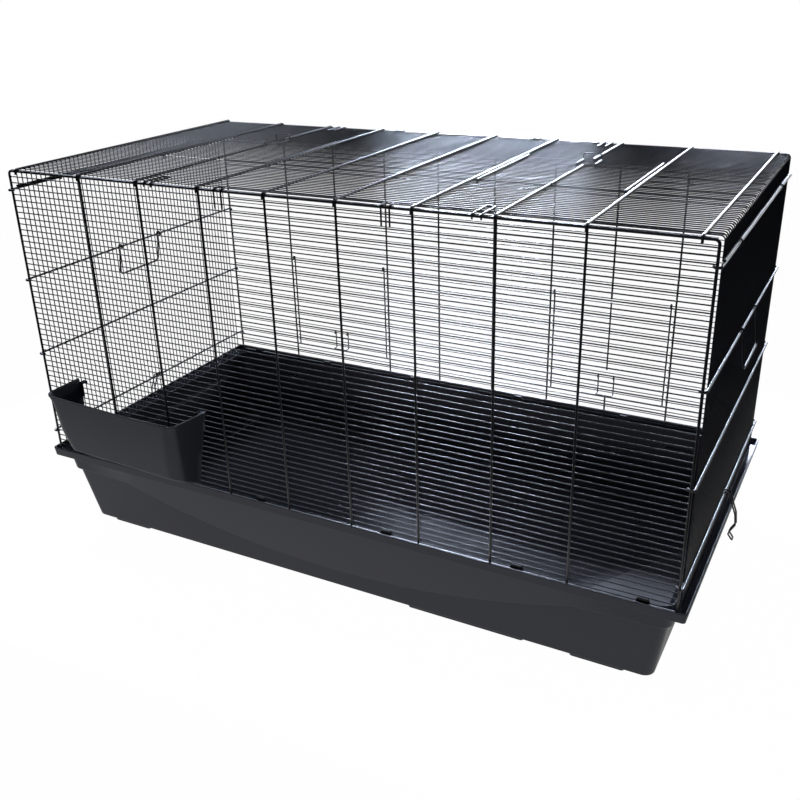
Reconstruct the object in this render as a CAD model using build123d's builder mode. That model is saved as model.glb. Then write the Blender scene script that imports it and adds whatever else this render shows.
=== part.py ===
"""Small animal cage: a wire top on a deep plastic tray, with four doors and a hay rack."""

import os
from math import asin, cos, degrees, radians, sin

from build123d import *

os.makedirs("parts", exist_ok=True)

# Wire top, all sizes in millimetres.
cage_length = 976.0  # between the corner uprights
cage_depth = 488.0  # between the front and back panels
cage_rise = 442.0  # from the bottom rail to the top rail
rail_height = 131.0  # bottom rail above the ground
bay = 101.4  # spacing of the uprights
end_wire = 16.2  # outermost top cross wires, in from the corner uprights
bar_pitch = 8.5
bar_wire = 1.6
upright_wire = 3.0
frame_wire = 3.4
frame_bend = 5.0
top_bend = 5.0
touch = 0.05  # left where one wire is bent round another
side_play = 1.3  # side panels stand this much outside the corner uprights, in their hooks

# Side cross wires above the bottom rail; the first one is the joint with the top.
top_fold = 27.0  # roof bars come down this far over the ends
joint_rise = cage_rise - top_fold
handle_rise = 282.0
middle_rise = 165.0
clip_rise = 35.0

# Doors: the hinge bar, the number of door bars and the sill bar follow each other on the bar grid.
back_hinge_row = 24
back_door_rows = 19
top_hinge_row = -9
top_door_rows = 20
door_wire = 2.5
door_gap = 0.35  # running clearance in the hinge and latch eyes
door_inset = 7.0  # door side wires in from the uprights
bar_overhang = 2.5  # cut panel bars past the uprights
eye_turn = 255.0

# Latches.
latch_wire = 2.1
latch_half = 13.0
latch_foot = 3.5  # foot length in bar pitches
latch_bail = 8.0
latch_bend = 2.6

# Carrying handles.
handle_wire = 3.0
handle_half = 5.5 * bar_pitch  # eyes sit between two side bars
handle_drop = 48.0
handle_lean = 5.0
handle_bend = 7.0

# Tray clips.
clip_wire = 2.2
clip_half = 0.5 * bar_pitch
clip_open = 9.5  # degrees swung out from under the rim

# Panel clips: inner ones hang over the rail, outer ones lie on the roof, rings close the side joints.
edge_clip_wire = 2.2
edge_clip_half = 5.5
hung_clip_x = 119.0
hung_clip_reach = 9.0
hung_clip_leg = 22.0
flat_clip_x = 232.0
flat_clip_reach = 38.0
flat_clip_leg = 3.0
ring_wire = 1.8
ring_row = 17.5  # rings sit between two bars

# Tray.
rim_past_ends = 13.0  # rim edge outside the corner uprights
rim_past_front = 6.5
rim_corner = 6.0
rim_upstand = 6.0
upstand_wall = 2.5
rim_skirt = 7.4  # rim edge turned down below the flange top
flange_thick = 3.5
rail_gap = 0.3  # bottom rail above the flange
collar_in_ends = 19.5  # collar in from the rim
collar_in_front = 15.0
collar_corner = 17.0
collar_draft = 3.0  # collar widens by this up to the flange
ledge_height = 96.0
ledge_step = 5.0
tray_draft = 14.0  # body narrows by this on each side, down to the floor
body_corner = 14.0
tray_wall = 3.0
foot_height = 4.0
foot_width = 9.0
tray_bend = 7.0
bow_low = 33.0  # long walls bow out above an arc that dips to this height
arc_half = 376.0
bow_half = 464.0
bow_flat = 350.0  # flush with the rim between these
bow_lean = 29.0  # bowed wall in at the arc's lowest point
end_foot_length = 73.0
end_foot_inset = 36.0  # outer end of an end foot, in from the wall
mid_foot_length = 172.0
mid_foot_x = 204.0
centre_foot_width = 24.0
tab_inner = 102.0
tab_middle = 288.0
tab_end = 41.0  # outermost tabs, in from the corner uprights
tab_width = 20.0
tab_top = 12.0
tab_height = 8.2
tab_thick = 3.0

# Hay rack. Each level gives the share of the way down, the reach to the left, to the right at the front
# and to the right at the back, the depth, and the front corners.
rack_x = -305.0
rack_rise = 132.5  # top edge above the bottom rail
rack_levels = (
    (0.0, 118.0, 115.0, 124.0, 68.0, 16.0),
    (0.12, 113.5, 112.5, 120.5, 65.2, 16.5),
    (0.5, 114.5, 107.5, 112.5, 56.5, 18.0),
    (1.0, 95.5, 101.0, 102.0, 45.0, 20.0),
)
rack_front_slope = 0.62  # bottom rises to the front
rack_wall = 2.2
rack_hook_row = 14  # right hook; the left one hangs a bar higher
rack_hook_spread = 226.0
rack_hook_width = 7.0
rack_hook_thick = 2.5
rack_hook_nose = 2.6

# Positions that follow from the sizes above.
half_l = cage_length / 2
half_d = cage_depth / 2
base = rail_height
top = rail_height + cage_rise
bar_r = bar_wire / 2
upright_r = upright_wire / 2
frame_r = frame_wire / 2
bar_plane = half_d - frame_r - bar_r
upright_plane = bar_plane + bar_r + upright_r
hook_reach = frame_r + upright_r + touch
cross_plane = half_l + hook_reach + side_play
side_plane = cross_plane - upright_r - bar_r
top_cross_z = top + frame_r + upright_r + touch
top_bar_z = top_cross_z - upright_r - bar_r
panel_rows = round(cage_rise / bar_pitch)
top_rows = int((half_d - 4 * frame_r) // bar_pitch)
side_rows = top_rows
upright_spots = [bay * (step - 3.5) for step in range(8)]
door_spot = 2.5 * bay
bar_end = half_l + bar_r / 2
fold_z = base + joint_rise + upright_wire + touch


def wires_along_x(spots, start, end, wire):
    """Straight wires along X at the given (y, z) spots."""
    with BuildPart() as group:
        with BuildSketch(Plane.YZ.offset(start)):
            with Locations(*spots):
                Circle(wire / 2)
        extrude(amount=end - start)
    return group.part


def wires_along_z(spots, start, end, wire):
    """Straight wires along Z at the given (x, y) spots."""
    with BuildPart() as group:
        with BuildSketch(Plane.XY.offset(start)):
            with Locations(*spots):
                Circle(wire / 2)
        extrude(amount=end - start)
    return group.part


def bent_wire(points, bend, wire, close=False):
    """One wire bent along the points."""
    with BuildPart() as rod:
        with BuildLine() as path:
            FilletPolyline(*points, radius=bend, close=close)
        with BuildSketch(Plane(origin=path.line @ 0, z_dir=path.line % 0)):
            Circle(wire / 2)
        sweep()
    return rod.part


def panel_frame(y):
    """The closed rail round one long panel."""
    points = [(-half_l, y, base), (half_l, y, base), (half_l, y, top), (-half_l, y, top)]
    return bent_wire(points, frame_bend, frame_wire, close=True)


def hook_wire(side, z):
    """A side cross wire whose ends are hooked round the corner uprights."""
    reach = hook_reach + side_play / 2
    centre = side * (half_l + side_play / 2)
    out = side * cross_plane
    back = side * (half_l - hook_reach)
    with BuildPart() as rod:
        with BuildLine() as path:
            ThreePointArc((back, -half_d, z), (centre, -half_d - reach, z), (out, -half_d, z))
            Line((out, -half_d, z), (out, half_d, z))
            ThreePointArc((out, half_d, z), (centre, half_d + reach, z), (back, half_d, z))
        with BuildSketch(Plane(origin=path.line @ 0, z_dir=path.line % 0)):
            Circle(upright_r)
        sweep()
    return rod.part


def top_bar(y):
    """A roof bar bent down at both ends to the fold wires."""
    low = fold_z - upright_r
    points = [
        (-side_plane, y, low),
        (-side_plane, y, top_bar_z),
        (side_plane, y, top_bar_z),
        (side_plane, y, low),
    ]
    return bent_wire(points, top_bend, bar_wire)


def top_bar_end(y, side):
    """The bent end of a roof bar that stops at a door."""
    stop = door_spot + bay - bar_overhang
    low = fold_z - upright_r
    points = [
        (side * stop, y, top_bar_z),
        (side * side_plane, y, top_bar_z),
        (side * side_plane, y, low),
    ]
    return bent_wire(points, top_bend, bar_wire)


def eye_leg(u, axis_v, axis_w, reach, end_v, wire):
    """A door wire with an eye: the eye turns round (axis_v, axis_w), the leg runs on to end_v."""
    turn = radians(90 + eye_turn)
    half = radians(90 + eye_turn / 2)
    tip = (u, axis_v + reach * cos(turn), axis_w + reach * sin(turn))
    mid = (u, axis_v + reach * cos(half), axis_w + reach * sin(half))
    with BuildPart() as rod:
        with BuildLine() as path:
            ThreePointArc(tip, mid, (u, axis_v, axis_w + reach))
            Line((u, axis_v, axis_w + reach), (u, end_v, axis_w + reach))
        with BuildSketch(Plane(origin=path.line @ 0, z_dir=path.line % 0)):
            Circle(wire / 2)
        sweep()
    return rod.part


# Doors are drawn lying in their own plane: u across, v from the hinge bar, w outward.
hinge_reach = bar_r + door_gap + door_wire / 2
door_bar_w = hinge_reach - door_wire / 2 - bar_r
door_half = bay - door_inset
latch_reach = bar_r + door_gap + latch_wire / 2


def door_bars(rows):
    """The bars of one door."""
    spots = [(bar_pitch * row, door_bar_w) for row in range(1, rows + 1)]
    past = door_wire / 2 + 0.4
    return wires_along_x(spots, -door_half - past, door_half + past, bar_wire)


def door_wires(rows):
    """The two hinged side wires and the mid wire of one door."""
    sill = bar_pitch * (rows + 1)
    latch_v = bar_pitch * (rows - 3)
    start = bar_pitch - door_wire / 2 + door_gap / 4
    end = latch_v - bar_pitch - 4
    with BuildPart() as group:
        for side in (-1, 1):
            add(eye_leg(side * door_half, 0, 0, hinge_reach, sill + 2, door_wire))
        with BuildSketch(Plane.XZ.offset(-end)):
            with Locations((0, hinge_reach)):
                Circle(door_wire / 2)
        extrude(amount=end - start)
    return group.part


def door_latch(rows, bail):
    """The wire latch of one door: two eyes round a door bar and a bail at the foot."""
    axis_v = bar_pitch * (rows - 3)
    level = door_bar_w + latch_reach
    foot = axis_v + bar_pitch * latch_foot
    turn = radians(90 + eye_turn)
    half = radians(90 + eye_turn / 2)
    with BuildPart() as group:
        with BuildLine() as path:
            for side in (-1, 1):
                u = side * latch_half
                tip = (u, axis_v + latch_reach * cos(turn), door_bar_w + latch_reach * sin(turn))
                mid = (u, axis_v + latch_reach * cos(half), door_bar_w + latch_reach * sin(half))
                ThreePointArc(tip, mid, (u, axis_v, level))
            FilletPolyline(
                (-latch_half, axis_v, level),
                (-latch_half, foot, level),
                (-latch_half, foot, level + bail),
                (latch_half, foot, level + bail),
                (latch_half, foot, level),
                (latch_half, axis_v, level),
                radius=latch_bend,
            )
        with BuildSketch(Plane(origin=path.wire() @ 0, z_dir=path.wire() % 0)):
            Circle(latch_wire / 2)
        sweep()
    return group.part


def back_door_plane(x):
    """Where a back door hangs: v runs down the panel, w points backward."""
    hinge_z = base + bar_pitch * back_hinge_row
    return Plane(origin=(x, bar_plane, hinge_z), x_dir=(1, 0, 0), z_dir=(0, 1, 0))


def top_door_plane(x):
    """Where a roof door lies: v runs backward, w points up."""
    return Plane(origin=(x, bar_pitch * top_hinge_row, top_bar_z), x_dir=(1, 0, 0), z_dir=(0, 0, 1))


# Long panels.
for name, way in (("front", -1), ("back", 1)):
    with BuildPart() as frame:
        add(panel_frame(way * half_d))
    frame.part.label = name + "_frame"
    export_step(frame.part, "parts/" + name + "_frame.step")

with BuildPart() as front_uprights:
    spots = [(x, -upright_plane) for x in upright_spots]
    add(wires_along_z(spots, base + frame_r, top - frame_r, upright_wire))
front_uprights.part.label = "front_uprights"
export_step(front_uprights.part, "parts/front_uprights.step")

with BuildPart() as front_bars:
    rows = [(-bar_plane, base + bar_pitch * row) for row in range(1, panel_rows)]
    add(wires_along_x(rows, -bar_end, bar_end, bar_wire))
front_bars.part.label = "front_bars"
export_step(front_bars.part, "parts/front_bars.step")

back_sill_row = back_hinge_row - back_door_rows - 1
hinge_z = base + bar_pitch * back_hinge_row
sill_z = base + bar_pitch * back_sill_row
whole_spots = [(x, upright_plane) for x in upright_spots if abs(abs(x) - door_spot) > bay / 2]
door_mid_spots = [(-door_spot, upright_plane), (door_spot, upright_plane)]
with BuildPart() as back_uprights:
    add(wires_along_z(whole_spots, base + frame_r, top - frame_r, upright_wire))
    add(wires_along_z(door_mid_spots, hinge_z - upright_wire * 0.6, top - frame_r, upright_wire))
    add(wires_along_z(door_mid_spots, base + frame_r, sill_z + bar_r + 0.2, upright_wire))
back_uprights.part.label = "back_uprights"
export_step(back_uprights.part, "parts/back_uprights.step")

door_inner = door_spot - bay + bar_overhang
door_outer = door_spot + bay - bar_overhang
with BuildPart() as back_bars:
    whole = [row for row in range(1, panel_rows) if not back_sill_row < row < back_hinge_row]
    cut = [(bar_plane, base + bar_pitch * row) for row in range(back_sill_row + 1, back_hinge_row)]
    add(wires_along_x([(bar_plane, base + bar_pitch * row) for row in whole], -bar_end, bar_end, bar_wire))
    add(wires_along_x(cut, -bar_end, -door_outer, bar_wire))
    add(wires_along_x(cut, -door_inner, door_inner, bar_wire))
    add(wires_along_x(cut, door_outer, bar_end, bar_wire))
back_bars.part.label = "back_bars"
export_step(back_bars.part, "parts/back_bars.step")

# Short panels.
for name, side in (("left", -1), ("right", 1)):
    with BuildPart() as side_bars:
        rows = [(side * side_plane, bar_pitch * row) for row in range(-side_rows, side_rows + 1)]
        add(wires_along_z(rows, base - frame_r / 2, base + joint_rise - rail_gap, bar_wire))
    side_bars.part.label = name + "_side_bars"
    export_step(side_bars.part, "parts/" + name + "_side_bars.step")

    with BuildPart() as side_cross_wires:
        for rise in (joint_rise, handle_rise, middle_rise, clip_rise):
            add(hook_wire(side, base + rise))
    side_cross_wires.part.label = name + "_side_cross_wires"
    export_step(side_cross_wires.part, "parts/" + name + "_side_cross_wires.step")

# Roof.
top_sill_row = top_hinge_row + top_door_rows + 1
with BuildPart() as top_bars_front:
    for row in range(-top_rows, top_hinge_row + 1):
        add(top_bar(bar_pitch * row))
top_bars_front.part.label = "top_bars_front"
export_step(top_bars_front.part, "parts/top_bars_front.step")

with BuildPart() as top_bars_middle:
    cut = range(top_hinge_row + 1, top_sill_row)
    for row in cut:
        for side in (-1, 1):
            add(top_bar_end(bar_pitch * row, side))
    add(wires_along_x([(bar_pitch * row, top_bar_z) for row in cut], -door_inner, door_inner, bar_wire))
top_bars_middle.part.label = "top_bars_middle"
export_step(top_bars_middle.part, "parts/top_bars_middle.step")

with BuildPart() as top_bars_rear:
    for row in range(top_sill_row, top_rows + 1):
        add(top_bar(bar_pitch * row))
top_bars_rear.part.label = "top_bars_rear"
export_step(top_bars_rear.part, "parts/top_bars_rear.step")

edge_rail_y = half_d - frame_r - upright_r - 4 * touch
edge_rail_end = half_l - frame_bend / 2
with BuildPart() as top_edge_rails:
    spots = [(-edge_rail_y, top_cross_z - upright_wire), (edge_rail_y, top_cross_z - upright_wire)]
    add(wires_along_x(spots, -edge_rail_end, edge_rail_end, upright_wire))
    fold_end = bar_pitch * top_rows + bar_wire
    for side in (-1, 1):
        with BuildSketch(Plane.XZ.offset(-fold_end)):
            with Locations((side * cross_plane, fold_z)):
                Circle(upright_r)
        extrude(amount=2 * fold_end)
top_edge_rails.part.label = "top_edge_rails"
export_step(top_edge_rails.part, "parts/top_edge_rails.step")

hook_y = half_d + frame_r + upright_r + touch
hook_z = top - 4
hook_bend = frame_r + upright_r + touch
top_hinge_y = bar_pitch * top_hinge_row
top_sill_y = bar_pitch * top_sill_row
with BuildPart() as top_cross_wires:
    whole = [x for x in upright_spots if abs(abs(x) - door_spot) > bay / 2]
    for x in whole + [-(half_l - end_wire), half_l - end_wire]:
        front_hook = [(x, -hook_y, hook_z), (x, -hook_y, top_cross_z)]
        back_hook = [(x, hook_y, top_cross_z), (x, hook_y, hook_z)]
        add(bent_wire(front_hook + back_hook, hook_bend, upright_wire))
    for x in (-door_spot, door_spot):
        front_end = (x, top_hinge_y + upright_wire * 0.6, top_cross_z)
        back_end = (x, top_sill_y - bar_r - 0.2, top_cross_z)
        front_hook = [(x, -hook_y, hook_z), (x, -hook_y, top_cross_z)]
        back_hook = [(x, hook_y, top_cross_z), (x, hook_y, hook_z)]
        add(bent_wire(front_hook + [front_end], hook_bend, upright_wire))
        add(bent_wire([back_end] + back_hook, hook_bend, upright_wire))
top_cross_wires.part.label = "top_cross_wires"
export_step(top_cross_wires.part, "parts/top_cross_wires.step")

clip_y = half_d + frame_r + edge_clip_wire / 2 + touch
clip_z = top_bar_z + bar_r + edge_clip_wire / 2 + touch
ring_out = upright_r + ring_wire / 2 + touch
clip_forms = (
    (hung_clip_x, hung_clip_reach, hung_clip_leg),
    (flat_clip_x, flat_clip_reach, flat_clip_leg),
)
with BuildPart() as panel_clips:
    for way in (-1, 1):
        for place, reach, leg in clip_forms:
            for x in (-place, place):
                left = x - edge_clip_half
                right = x + edge_clip_half
                inner = way * (half_d - reach)
                points = [
                    (left, way * clip_y, top - leg),
                    (left, way * clip_y, clip_z),
                    (left, inner, clip_z),
                    (right, inner, clip_z),
                    (right, way * clip_y, clip_z),
                    (right, way * clip_y, top - leg),
                ]
                add(bent_wire(points, edge_clip_wire, edge_clip_wire))
        for side in (-1, 1):
            ring_y = way * ring_row * bar_pitch
            near = side * (cross_plane - ring_out)
            far = side * (cross_plane + ring_out)
            low = base + joint_rise - ring_out
            high = fold_z + ring_out
            points = [(near, ring_y, low), (far, ring_y, low), (far, ring_y, high), (near, ring_y, high)]
            add(bent_wire(points, ring_out - touch, ring_wire, close=True))
panel_clips.part.label = "panel_clips"
export_step(panel_clips.part, "parts/panel_clips.step")

# Doors and their latches.
door_places = (
    ("top_left", top_door_plane(-door_spot), top_door_rows, latch_bail),
    ("top_right", top_door_plane(door_spot), top_door_rows, latch_bail),
    ("back_left", back_door_plane(-door_spot), back_door_rows, -latch_bail - latch_reach),
    ("back_right", back_door_plane(door_spot), back_door_rows, -latch_bail - latch_reach),
)
for name, place, rows, bail in door_places:
    with BuildPart() as one_door_bars:
        with Locations(place):
            add(door_bars(rows))
    one_door_bars.part.label = name + "_door_bars"
    export_step(one_door_bars.part, "parts/" + name + "_door_bars.step")

    with BuildPart() as one_door_wires:
        with Locations(place):
            add(door_wires(rows))
    one_door_wires.part.label = name + "_door_wires"
    export_step(one_door_wires.part, "parts/" + name + "_door_wires.step")

    with BuildPart() as one_latch:
        with Locations(place):
            add(door_latch(rows, bail))
    one_latch.part.label = name + "_door_latch"
    export_step(one_latch.part, "parts/" + name + "_door_latch.step")

# Carrying handles hang on a side cross wire; drawn in a plane with u = Y, v = down, w = outward.
handle_reach = upright_r + door_gap + handle_wire / 2
handle_z = base + handle_rise
for name, side in (("left", -1), ("right", 1)):
    turn = radians(90 + eye_turn)
    half = radians(90 + eye_turn / 2)
    with BuildPart() as handle:
        with BuildLine() as path:
            out = cross_plane + handle_reach
            for way in (-1, 1):
                y = way * handle_half
                tip_x = side * (cross_plane + handle_reach * sin(turn))
                mid_x = side * (cross_plane + handle_reach * sin(half))
                ThreePointArc(
                    (tip_x, y, handle_z - handle_reach * cos(turn)),
                    (mid_x, y, handle_z - handle_reach * cos(half)),
                    (side * out, y, handle_z),
                )
            FilletPolyline(
                (side * out, -handle_half, handle_z),
                (side * out, -handle_half, handle_z - handle_drop / 4),
                (side * (out + handle_lean), -handle_half, handle_z - handle_drop),
                (side * (out + handle_lean), handle_half, handle_z - handle_drop),
                (side * out, handle_half, handle_z - handle_drop / 4),
                (side * out, handle_half, handle_z),
                radius=handle_bend,
            )
        with BuildSketch(Plane(origin=path.wire() @ 0, z_dir=path.wire() % 0)):
            Circle(handle_wire / 2)
        sweep()
    handle.part.label = name + "_handle"
    export_step(handle.part, "parts/" + name + "_handle.step")

# Tray clips: latched shape in (out, up) from the clip wire, then swung out by clip_open.
clip_reach = upright_r + door_gap + clip_wire / 2
clip_z0 = base + clip_rise
latched = ((8.0, -10.0), (12.0, -30.0), (11.2, -46.5), (3.7, -56.0), (1.1, -61.0), (5.7, -70.0))
swing = radians(clip_open)
swung = [(o * cos(swing) - u * sin(swing), o * sin(swing) + u * cos(swing)) for o, u in latched]
for name, side in (("left", -1), ("right", 1)):
    with BuildPart() as tray_clip:
        with BuildLine() as path:
            for way in (-1, 1):
                y = way * clip_half
                tip_turn = radians(290)
                mid_turn = radians(180)
                start_turn = radians(70)
                eye = [
                    (side * (cross_plane + clip_reach * cos(turn)), y, clip_z0 + clip_reach * sin(turn))
                    for turn in (tip_turn, mid_turn, start_turn)
                ]
                ThreePointArc(*eye)
            near = [(side * (cross_plane + out), -clip_half, clip_z0 + up) for out, up in swung]
            far = [(x, clip_half, z) for x, _, z in reversed(near)]
            start = (
                side * (cross_plane + clip_reach * cos(radians(70))),
                -clip_half,
                base + clip_rise + clip_reach * sin(radians(70)),
            )
            finish = (start[0], clip_half, start[2])
            shoulder = (
                side * (cross_plane + clip_reach * cos(radians(70)) + 5.6 * sin(radians(70))),
                -clip_half,
                base + clip_rise + clip_reach * sin(radians(70)) - 5.6 * cos(radians(70)),
            )
            far_shoulder = (shoulder[0], clip_half, shoulder[2])
            FilletPolyline(start, shoulder, *near, *far, far_shoulder, finish, radius=clip_wire)
        with BuildSketch(Plane(origin=path.wire() @ 0, z_dir=path.wire() % 0)):
            Circle(clip_wire / 2)
        sweep()
    tray_clip.part.label = name + "_tray_clip"
    export_step(tray_clip.part, "parts/" + name + "_tray_clip.step")

# Tray.
rim_x = half_l + rim_past_ends
rim_y = half_d + rim_past_front
flange_top = base - frame_r - rail_gap
flange_low = flange_top - flange_thick
collar_x = rim_x - collar_in_ends
collar_y = rim_y - collar_in_front
body_x = collar_x - ledge_step
body_y = collar_y - ledge_step
rim_top = flange_top + rim_upstand


def tub_form(skin, low, high):
    """The tapering tub, drawn in by skin, between two heights."""
    slope = tray_draft / (ledge_height - foot_height)
    with BuildPart() as form:
        for level in (low, high):
            inset = skin + slope * (ledge_height - level)
            with BuildSketch(Plane.XY.offset(level)):
                RectangleRounded(2 * (body_x - inset), 2 * (body_y - inset), body_corner - skin)
        loft()
    return form.part


def collar_form(skin, low, high):
    """The collar above the ledge, drawn in by skin, between two heights."""
    slope = collar_draft / (flange_low - ledge_height)
    with BuildPart() as form:
        for level in (low, high):
            inset = skin - slope * (level - ledge_height)
            with BuildSketch(Plane.XY.offset(level)):
                RectangleRounded(2 * (collar_x - inset), 2 * (collar_y - inset), collar_corner - skin)
        loft()
    return form.part


def bow_form(skin):
    """The bowed long walls above their arc, drawn in by skin."""
    full = rim_y - skin
    slim = collar_y - skin
    with BuildPart() as form:
        with BuildSketch(Plane.XY.offset(bow_low)):
            with BuildLine():
                Polyline(
                    (-bow_half, slim),
                    (-bow_flat, full),
                    (bow_flat, full),
                    (bow_half, slim),
                    (bow_half, -slim),
                    (bow_flat, -full),
                    (-bow_flat, -full),
                    (-bow_half, -slim),
                    close=True,
                )
            make_face()
        extrude(amount=flange_low - bow_low)
        with BuildSketch(Plane.YZ):
            with BuildLine():
                Polyline(
                    (-full, rim_top),
                    (full, rim_top),
                    (full - bow_lean, bow_low),
                    (bow_lean - full, bow_low),
                    close=True,
                )
            make_face()
        extrude(amount=cage_length, both=True, mode=Mode.INTERSECT)
        with BuildSketch(Plane.XZ):
            with BuildLine():
                high = ledge_height + skin
                low = bow_low + skin
                ThreePointArc((arc_half, high), (0, low), (-arc_half, high))
                Polyline(
                    (-arc_half, high),
                    (-bow_half, high),
                    (-bow_half, flange_top),
                    (bow_half, flange_top),
                    (bow_half, high),
                    (arc_half, high),
                )
            make_face()
        extrude(amount=cage_depth, both=True, mode=Mode.INTERSECT)
    return form.part


with BuildPart() as hollow:
    add(tub_form(tray_wall, foot_height + tray_wall, ledge_height - tray_wall))
    fillet(hollow.faces().sort_by(Axis.Z)[0].edges(), tray_bend - tray_wall)
    with BuildSketch(Plane.XY.offset(ledge_height - tray_wall)):
        RectangleRounded(2 * (body_x - tray_wall), 2 * (body_y - tray_wall), body_corner - tray_wall)
    extrude(amount=2 * tray_wall)
    add(collar_form(tray_wall, ledge_height + tray_wall, rim_top))
    add(bow_form(tray_wall))

with BuildPart() as tray:
    add(tub_form(0, foot_height, ledge_height))
    fillet(tray.faces().sort_by(Axis.Z)[0].edges(), tray_bend)
    add(bow_form(0))
    add(collar_form(0, ledge_height, flange_low))
    with BuildSketch(Plane.XY.offset(flange_low)):
        RectangleRounded(2 * rim_x, 2 * rim_y, rim_corner)
    extrude(amount=flange_thick)
    with BuildSketch(Plane.XY.offset(flange_top - rim_skirt)):
        RectangleRounded(2 * rim_x, 2 * rim_y, rim_corner)
        RectangleRounded(
            2 * (rim_x - upstand_wall),
            2 * (rim_y - upstand_wall),
            rim_corner - upstand_wall,
            mode=Mode.SUBTRACT,
        )
    extrude(amount=rim_skirt + rim_upstand)
    add(hollow.part, mode=Mode.SUBTRACT)
    foot_y = body_y - tray_draft - foot_width / 2 - 2
    end_foot_x = body_x - tray_draft - end_foot_inset - end_foot_length / 2
    with BuildSketch(Plane.XY):
        with GridLocations(2 * end_foot_x, 2 * foot_y, 2, 2):
            SlotOverall(end_foot_length, foot_width)
        with Locations((mid_foot_x, -foot_y), (-mid_foot_x, foot_y)):
            SlotOverall(mid_foot_length, foot_width)
        SlotOverall(mid_foot_length, centre_foot_width)
    extrude(amount=foot_height + tray_wall / 2)
tray.part.label = "tray"
export_step(tray.part, "parts/tray.step")

tab_y = half_d - frame_r - 2 * rail_gap
tab_low = tab_width / 2
tab_high = tab_top / 2
tab_spots = (tab_inner, tab_middle, half_l - tab_end)
with BuildPart() as locating_tabs:
    for face_y in (-tab_y, tab_y - tab_thick):
        with BuildSketch(Plane.XZ.offset(-face_y)):
            for x in tab_spots:
                with Locations((-x, flange_top), (x, flange_top)):
                    Polygon(
                        (-tab_low, 0),
                        (tab_low, 0),
                        (tab_high, tab_height),
                        (-tab_high, tab_height),
                        align=(Align.CENTER, Align.MIN),
                    )
        extrude(amount=-tab_thick)
locating_tabs.part.label = "locating_tabs"
export_step(locating_tabs.part, "parts/locating_tabs.step")

# Hay rack: an open box hung on the front bars, its back and top open, one hook a bar higher.
rack_tilt = asin(bar_pitch / rack_hook_spread)
rack_back = -half_d - frame_r - 1.3
rack_low = rim_top + rail_gap + rack_levels[-1][3] * sin(rack_tilt)
rack_top = base + rack_rise
rack_depth = rack_levels[0][4]
rack_pivot = Axis((rack_x, rack_back, (rack_low + rack_top) / 2), (0, 1, 0))


def rack_form(skin, past):
    """The outline of the rack, drawn in by skin, carried past its open sides."""
    open_y = rack_back + 2 * skin + 1
    front_y = rack_back - rack_depth
    with BuildPart() as form:
        for down, left, right, right_back, depth, corner in rack_levels:
            level = rack_top - down * (rack_top - rack_low)
            if down == 0:
                level += past
            with BuildSketch(Plane.XY.offset(level)) as outline:
                with BuildLine():
                    Polyline(
                        (rack_x - left + skin, rack_back + past),
                        (rack_x - left + skin, rack_back - depth + skin),
                        (rack_x + right - skin, rack_back - depth + skin),
                        (rack_x + right_back - skin, rack_back + past),
                        close=True,
                    )
                make_face()
                fillet(outline.vertices().group_by(Axis.Y)[0], corner - skin)
        loft(ruled=True)
        with BuildSketch(Plane.YZ):
            with BuildLine():
                Polyline(
                    (open_y, rack_low + skin),
                    (rack_back, rack_low + skin),
                    (front_y, rack_low + skin + rack_front_slope * rack_depth),
                    (front_y, rack_low - 1),
                    (open_y, rack_low - 1),
                    close=True,
                )
            make_face()
        extrude(amount=cage_length, both=True, mode=Mode.SUBTRACT)
    return form.part


hook_in = -bar_plane + bar_r + rail_gap
hook_deep = 2.2
hook_drop = 20.0  # back plate below the hook
hook_rise = bar_r + rail_gap  # hook above the bar's centre
plate_low = base + bar_pitch * (rack_hook_row + 0.5) + hook_rise - hook_drop
with BuildPart() as rack_hollow:
    add(rack_form(rack_wall, 1))
    for side, outward in ((-1, Align.MAX), (1, Align.MIN)):
        inner = rack_x + side * (rack_hook_spread / 2 - rack_hook_width)
        with Locations((inner, rack_back + 1, plate_low)):
            Box(
                2 * rack_depth,
                rack_wall + 1,
                hook_drop + rack_hook_thick,
                align=(outward, Align.MAX, Align.MIN),
                mode=Mode.SUBTRACT,
            )

with BuildPart() as rack_box:
    add(rack_form(0, 0))
    add(rack_hollow.part, mode=Mode.SUBTRACT)

with BuildPart() as hay_rack:
    add(rack_box.part.rotate(rack_pivot, degrees(rack_tilt)))
    for side, row in ((-1, rack_hook_row + 1), (1, rack_hook_row)):
        x = rack_x + side * (rack_hook_spread - rack_hook_width) / 2
        hook_low = base + bar_pitch * row + hook_rise
        with Locations((x, rack_back - rack_wall, hook_low)):
            Box(
                rack_hook_width,
                hook_in + hook_deep - rack_back + rack_wall,
                rack_hook_thick,
                align=(Align.CENTER, Align.MIN, Align.MIN),
            )
        with Locations((x, hook_in, hook_low - rack_hook_nose)):
            Box(
                rack_hook_width,
                hook_deep,
                rack_hook_nose,
                align=(Align.CENTER, Align.MIN, Align.MIN),
            )
hay_rack.part.label = "hay_rack"
export_step(hay_rack.part, "parts/hay_rack.step")
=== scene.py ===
"""Looks of the small animal cage: finishes, softened mouldings, weld beads and a plain white studio."""

from __future__ import annotations

import logging
import math
from dataclasses import dataclass, field
from enum import Enum
from itertools import product
from typing import Any, Mapping, Sequence, Union

import bpy
import numpy as np
from mathutils import Matrix, Vector

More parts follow.
